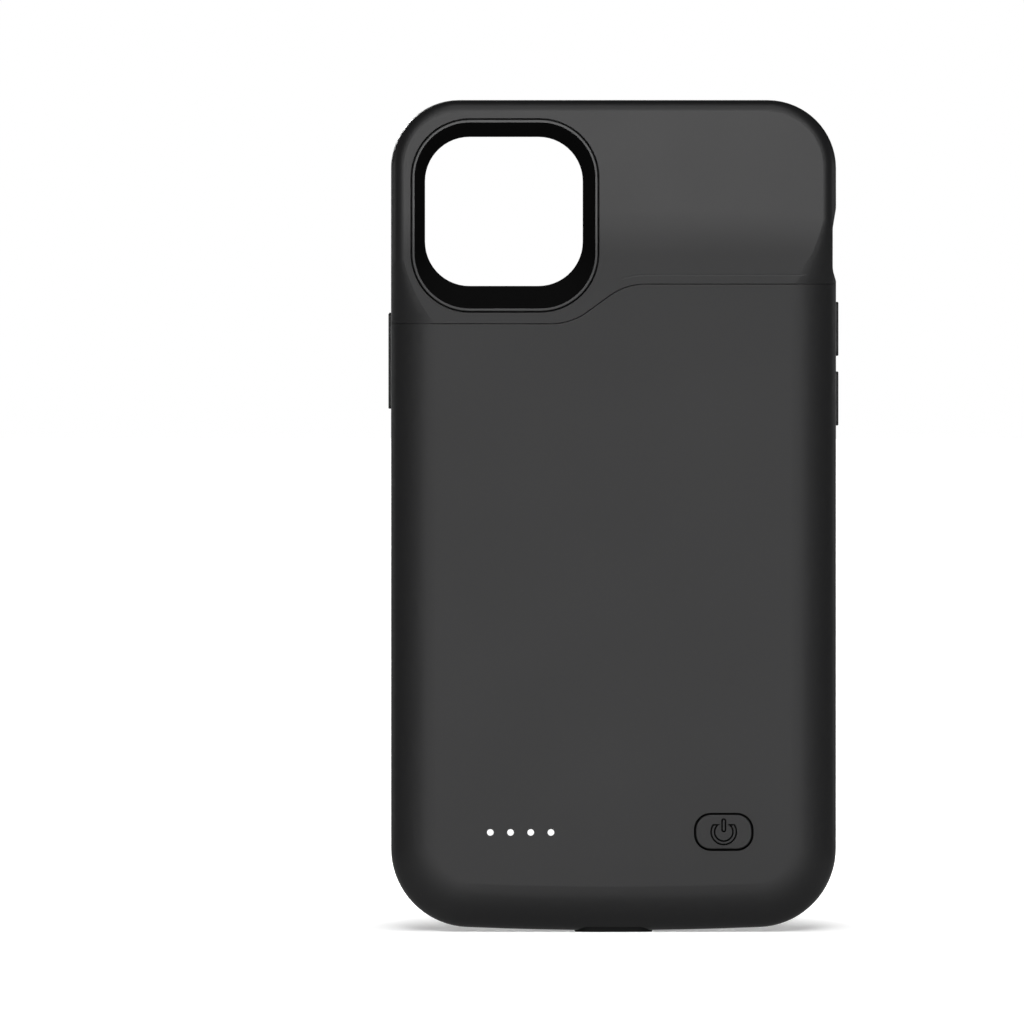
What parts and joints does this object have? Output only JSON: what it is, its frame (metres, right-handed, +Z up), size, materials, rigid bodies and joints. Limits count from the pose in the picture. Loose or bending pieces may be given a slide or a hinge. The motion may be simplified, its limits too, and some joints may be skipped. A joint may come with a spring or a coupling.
{
  "type": "battery charging case",
  "caption": "Slim case with a built-in battery that a phone slides into: hard back shell, soft bumper frame, camera window, side keys, power button, charge lights, socket and plug.",
  "frame": {"origin": "middle of the case's width and depth, on the ground under the collar of the charging socket", "axes": "+Z up along the case, +Y out of the open front, +X to the right when looking at the back"},
  "size_m": [0.0834, 0.0152, 0.154],
  "materials": {
    "soft_black": "soft matte",
    "shell_black": "fine matte",
    "tray_black": "matte",
    "bezel_black": "satin",
    "key_black": "satin",
    "button_black": "fine matte",
    "light_white": "clear white",
    "chip_white": "matte",
    "switch_black": "matte",
    "plunger_white": "matte",
    "board_green": "lacquered board",
    "screw_steel": "plated",
    "chip_black": "moulded",
    "inductor_grey": "pressed powder",
    "capacitor_tan": "fired",
    "cell_silver": "foil pouch",
    "adhesive_white": "adhesive sheet",
    "tab_nickel": "nickel strip",
    "lead_red": "wire cover",
    "lead_black": "wire cover",
    "socket_steel": "drawn sheet",
    "tongue_black": "moulded",
    "collar_black": "satin",
    "plug_steel": "plated",
    "base_black": "moulded",
    "link_amber": "film"
  },
  "bodies": {
    "case": {"bumper_frame": "soft_black", "back_shell": "shell_black", "inner_tray": "tray_black", "camera_bezel": "bezel_black", "light_guide": "light_white", "light_chips": "chip_white", "button_switch": "switch_black", "main_board": "board_green", "board_screws": "screw_steel", "charge_controller": "chip_black", "boost_inductor": "inductor_grey", "capacitors": "capacitor_tan", "battery_cell": "cell_silver", "cell_adhesive": "adhesive_white", "protection_board": "board_green", "cell_tabs": "tab_nickel", "lead_positive": "lead_red", "lead_negative": "lead_black", "socket_shell": "socket_steel", "socket_tongue": "tongue_black", "port_collar": "collar_black", "port_board": "board_green", "phone_plug": "plug_steel", "plug_insert": "tongue_black", "plug_base": "base_black", "board_link": "link_amber"},
    "power_button": {"power_button": "button_black", "switch_plunger": "plunger_white"},
    "volume_up": {"volume_up_key": "key_black"},
    "volume_down": {"volume_down_key": "key_black"},
    "side_key": {"side_key": "key_black"}
  },
  "joints": [
    {"name": "power_button_press", "type": "slide", "parent": "case", "child": "power_button", "axis": [0, 1, 0], "range_m": [0, 0.00035], "stiffness_N_per_m": 1500},
    {"name": "volume_up_press", "type": "slide", "parent": "case", "child": "volume_up", "axis": [-1, 0, 0], "range_m": [0, 0.00035], "stiffness_N_per_m": 1500},
    {"name": "volume_down_press", "type": "slide", "parent": "case", "child": "volume_down", "axis": [-1, 0, 0], "range_m": [0, 0.00035], "stiffness_N_per_m": 1500},
    {"name": "side_key_press", "type": "slide", "parent": "case", "child": "side_key", "axis": [1, 0, 0], "range_m": [0, 0.00035], "stiffness_N_per_m": 1500}
  ]
}
